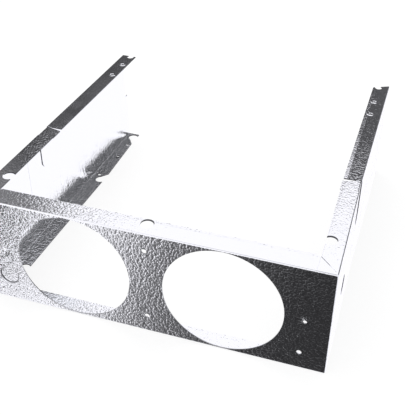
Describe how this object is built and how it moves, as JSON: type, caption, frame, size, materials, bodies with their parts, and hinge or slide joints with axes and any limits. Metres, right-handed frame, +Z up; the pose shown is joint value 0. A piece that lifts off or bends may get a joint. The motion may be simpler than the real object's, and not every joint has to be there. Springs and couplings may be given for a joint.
{
  "type": "evaporator cover",
  "caption": "U-shaped folded aluminium sheet with two round fan openings in front, two long side arms open at the rear, and flanges turned in along top and bottom.",
  "frame": {"origin": "centre of the bounding box's bottom face", "axes": "+X along the front wall to the right seen from the front, +Y from the front wall towards the open rear, +Z up across the height of the walls"},
  "size_m": [0.353, 0.364, 0.12],
  "materials": {
    "sheet": "stucco embossed, bright"
  },
  "bodies": {
    "root": {"cover_sheet": "sheet"}
  },
  "joints": []
}
